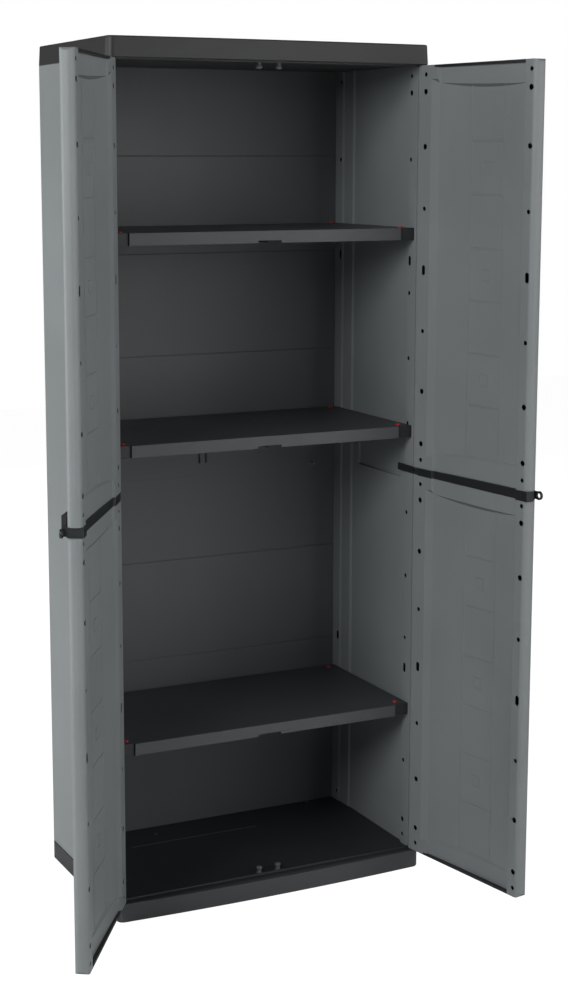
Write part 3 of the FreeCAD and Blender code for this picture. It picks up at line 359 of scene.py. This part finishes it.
def turnedPiece(name, look):
    (firstRadius, firstHeight), (radius, height) = look["profile"][:2]
    bpy.ops.object.select_all(action="DESELECT")
    centre = (0, 0, (firstHeight + height) / 2)
    bpy.ops.mesh.primitive_cylinder_add(vertices=look["sides"], radius=firstRadius,
                                        depth=height - firstHeight, location=centre)
    piece = bpy.context.object
    piece.name = name
    bpy.ops.object.transform_apply(location=True)
    startEdit(piece)
    pickFace(piece, height)
    bpy.ops.transform.resize(value=(radius / firstRadius, radius / firstRadius, 1))
    for nextRadius, nextHeight in look["profile"][2:]:
        rise = {"value": (0, 0, nextHeight - height)}
        bpy.ops.mesh.extrude_region_move(TRANSFORM_OT_translate=rise)
        bpy.ops.transform.resize(value=(nextRadius / radius, nextRadius / radius, 1))
        radius, height = nextRadius, nextHeight
    roundEdges(look["rounding"], roundedAngle)
    bpy.ops.object.mode_set(mode="OBJECT")
    bpy.ops.object.shade_smooth_by_angle(angle=math.radians(smoothAngle))
    return piece


def turnTo(piece, angle):
    startEdit(piece)
    bpy.ops.mesh.select_all(action="SELECT")
    bpy.ops.transform.rotate(value=angle, orient_axis="X", center_override=(0, 0, 0))
    bpy.ops.object.mode_set(mode="OBJECT")


def setOut(model, name, places, finish, replaced):
    copies = []
    for place in places:
        bpy.ops.object.select_all(action="DESELECT")
        model.select_set(True)
        bpy.context.view_layer.objects.active = model
        bpy.ops.object.duplicate(linked=False)
        copy = bpy.context.object
        startEdit(copy)
        bpy.ops.mesh.select_all(action="SELECT")
        bpy.ops.transform.translate(value=place)
        bpy.ops.object.mode_set(mode="OBJECT")
        copies.append(copy)
    for copy in copies:
        copy.select_set(True)
    bpy.context.view_layer.objects.active = copies[0]
    if len(copies) > 1:
        bpy.ops.object.join()
    piece = bpy.context.object
    piece.name = name
    piece.data.name = name
    piece.data.materials.clear()
    piece.data.materials.append(finish)
    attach(piece, "cabinet")
    if replaced:
        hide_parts(replaced)
    return piece


def corners(node, radius, axes=(0, 1)):
    low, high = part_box(node)
    first, second = ((low[axis] + radius, high[axis] - radius) for axis in axes)
    return [(across, along) for across in first for along in second]


lockPeg = {
    "sides": 28,
    "profile": ((0.0034, -0.024), (0.0034, 0.0), (0.0050, 0.0), (0.0050, 0.0011), (0.0043, 0.0021),
                (0.0029, 0.0026), (0.0022, 0.0026), (0.0020, 0.0030), (0.0009, 0.0030)),
    "rounding": 0.0002,
}


def makeLockPegs():
    model = turnedPiece("lockPegModel", lockPeg)
    for place in ("lower", "middle", "upper"):
        node = f"shelf_{place}_lock_pegs"
        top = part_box(node)[1][2] - lockPeg["profile"][-1][1]
        places = [(x, y, top) for x, y in corners(node, lockPeg["profile"][2][0])]
        setOut(model, f"shelf_{place}_red_pegs", places, finishes["red"], node)
    bpy.data.objects.remove(model)


stopPeg = {
    "sides": 32,
    "profile": ((0.0040, -0.0022), (0.0040, 0.0), (0.0063, 0.0), (0.0065, 0.0016), (0.0046, 0.0024),
                (0.0043, 0.0085), (0.0060, 0.0096), (0.0065, 0.0118), (0.0060, 0.0138), (0.0042, 0.0148),
                (0.0020, 0.0150)),
    "rounding": 0.00025,
}


def makeStops():
    model = turnedPiece("stopPegModel", stopPeg)
    for place in ("bottom", "top"):
        node = f"door_stops_{place}"
        low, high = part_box(node)
        seat = low[2] - stopPeg["profile"][0][1]
        if place == "top":
            turnTo(model, math.pi)
            seat = high[2] + stopPeg["profile"][0][1]
        reach = (high[1] - low[1]) / 2
        middle = (high[1] + low[1]) / 2
        places = [(x, middle, seat) for x in (low[0] + reach, high[0] - reach)]
        setOut(model, f"stops_{place}", places, finishes["peg"], node)
    bpy.data.objects.remove(model)


panScrew = {
    "sides": 28,
    "profile": ((0.0022, -0.0160), (0.0022, 0.0), (0.0045, 0.0), (0.0045, 0.0007), (0.0040, 0.0015),
                (0.0028, 0.0020), (0.0014, 0.0020), (0.0013, 0.0011), (0.0008, 0.0011)),
    "rounding": 0.00015,
}


def makeScrews():
    model = turnedPiece("panScrewModel", panScrew)
    turnTo(model, math.pi / 2)
    node = "back_connector_screws"
    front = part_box(node)[0][1] + panScrew["profile"][5][1]
    places = [(x, front, z) for x, z in corners(node, panScrew["profile"][2][0], (0, 2))]
    setOut(model, "back_pan_screws", places, finishes["steel"], node)
    bpy.data.objects.remove(model)


floorDot = {
    "sides": 24,
    "profile": ((0.0036, -0.0004), (0.0036, 0.0004), (0.0030, 0.0010), (0.0018, 0.0014),
                (0.0006, 0.0015)),
    "rounding": 0.0001,
    "tongue": 0.012,  # how far the side panels reach into the base and the cap
    "floor": ((0.257, 0.159), (-0.128, 0.126)),
    "roof": ((0.210, 0.070), (-0.210, -0.072)),
}


def makeDots():
    model = turnedPiece("dotModel", floorDot)
    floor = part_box("side_panel_left_lower")[0][2] + floorDot["tongue"]
    places = [(x, y, floor) for x, y in floorDot["floor"]]
    setOut(model, "floor_dots", places, finishes["peg"], None)
    turnTo(model, math.pi)
    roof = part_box("side_panel_left_upper")[1][2] - floorDot["tongue"]
    places = [(x, y, roof) for x, y in floorDot["roof"]]
    setOut(model, "roof_dots", places, finishes["peg"], None)
    bpy.data.objects.remove(model)


makeLockPegs()
makeStops()
makeScrews()
makeDots()
print("small pieces made")


# Room: white floor, soft lamps, camera

stage = {
    "floorSize": 14.0,
    "floorLevel": -0.0003,
    "floorWhite": 0.86,
    "floorPatches": 3.0,
    "cameraShare": 0.8,
    "cameraGlow": 1.22,
    "worldLight": 0.02,
    "worldColour": (0.97, 0.985, 1.0, 1),
}


def makeFloor():
    bpy.ops.mesh.primitive_plane_add(size=stage["floorSize"], location=(0, 0, stage["floorLevel"]))
    floor = bpy.context.object
    floor.name = "studioFloor"
    finish = Finish("floorWhite")
    patches = finish.spread(finish.noise(stage["floorPatches"]), 0.2, 0.8)
    tones = [shade((1, 1, 1), stage["floorWhite"] - drop) for drop in (0.01, 0)]
    white = finish.blend(patches, *tones)
    matt = finish.add("ShaderNodeBsdfDiffuse", {}, {"Color": white})
    glow = finish.add("ShaderNodeEmission", {}, {"Color": (1, 1, 1, 1), "Strength": stage["cameraGlow"]})
    seen = finish.add("ShaderNodeLightPath", {}, {}, "Is Camera Ray")
    both = finish.add("ShaderNodeMixShader", {}, {0: seen * stage["cameraShare"], 1: matt, 2: glow})
    floor.data.materials.append(finish.close(both))


def makeWorld():
    world = bpy.data.worlds.new("studioWorld")
    world.use_nodes = True
    tree = world.node_tree
    tree.nodes.clear()
    path = tree.nodes.new("ShaderNodeLightPath")
    seen = tree.nodes.new("ShaderNodeBackground")
    seen.inputs["Color"].default_value = (1, 1, 1, 1)
    soft = tree.nodes.new("ShaderNodeBackground")
    soft.inputs["Color"].default_value = stage["worldColour"]
    soft.inputs["Strength"].default_value = stage["worldLight"]
    mix = tree.nodes.new("ShaderNodeMixShader")
    output = tree.nodes.new("ShaderNodeOutputWorld")
    tree.links.new(path.outputs["Is Camera Ray"], mix.inputs[0])
    tree.links.new(soft.outputs[0], mix.inputs[1])
    tree.links.new(seen.outputs[0], mix.inputs[2])
    tree.links.new(mix.outputs[0], output.inputs["Surface"])
    bpy.context.scene.world = world


lamps = {
    "frontRight": {"place": (1.6, -3.6, 2.8), "aim": (0.0, 0.0, 0.9), "size": 2.0, "power": 34},
    "frontLow": {"place": (1.6, -3.6, 0.9), "aim": (0.0, 0.0, 0.9), "size": 2.0, "power": 20},
    "left": {"place": (-3.2, -2.2, 2.6), "aim": (0.0, 0.0, 0.9), "size": 1.6, "power": 85},
    "rearLeft": {"place": (-3.0, 1.0, 1.2), "aim": (0.0, 0.0, 0.9), "size": 2.0, "power": 44},
    "behind": {"place": (1.2, 4.0, 2.6), "aim": (0.0, 0.0, 0.9), "size": 2.0, "power": 60},
    "right": {"place": (3.4, -1.6, 2.2), "aim": (0.0, 0.0, 0.9), "size": 2.0, "power": 27},
}


def makeLamps():
    for name, lamp in lamps.items():
        light = bpy.data.lights.new(name, "AREA")
        light.size = lamp["size"]
        light.energy = lamp["power"]
        holder = bpy.data.objects.new(name, light)
        holder.location = lamp["place"]
        way = Vector(lamp["aim"]) - Vector(lamp["place"])
        holder.rotation_euler = way.to_track_quat("-Z", "Y").to_euler()
        bpy.context.scene.collection.objects.link(holder)


photoCamera = {
    "place": (-1.5489, -3.3335, 1.4781),
    "tilt": (80.655, 0.0, -25.825),
    "lens": 65.21,
    "shift": (0.0226, -0.0428),
}


def makeCamera():
    data = bpy.data.cameras.new("photoCamera")
    data.sensor_width = 36
    data.lens = photoCamera["lens"]
    data.shift_x, data.shift_y = photoCamera["shift"]
    camera = bpy.data.objects.new("photoCamera", data)
    camera.location = photoCamera["place"]
    camera.rotation_euler = Euler([math.radians(angle) for angle in photoCamera["tilt"]])
    bpy.context.scene.collection.objects.link(camera)
    bpy.context.scene.camera = camera


makeFloor()
makeWorld()
makeLamps()
makeCamera()
bpy.context.scene.view_settings.view_transform = "Standard"
print("room, lamps and camera ready")
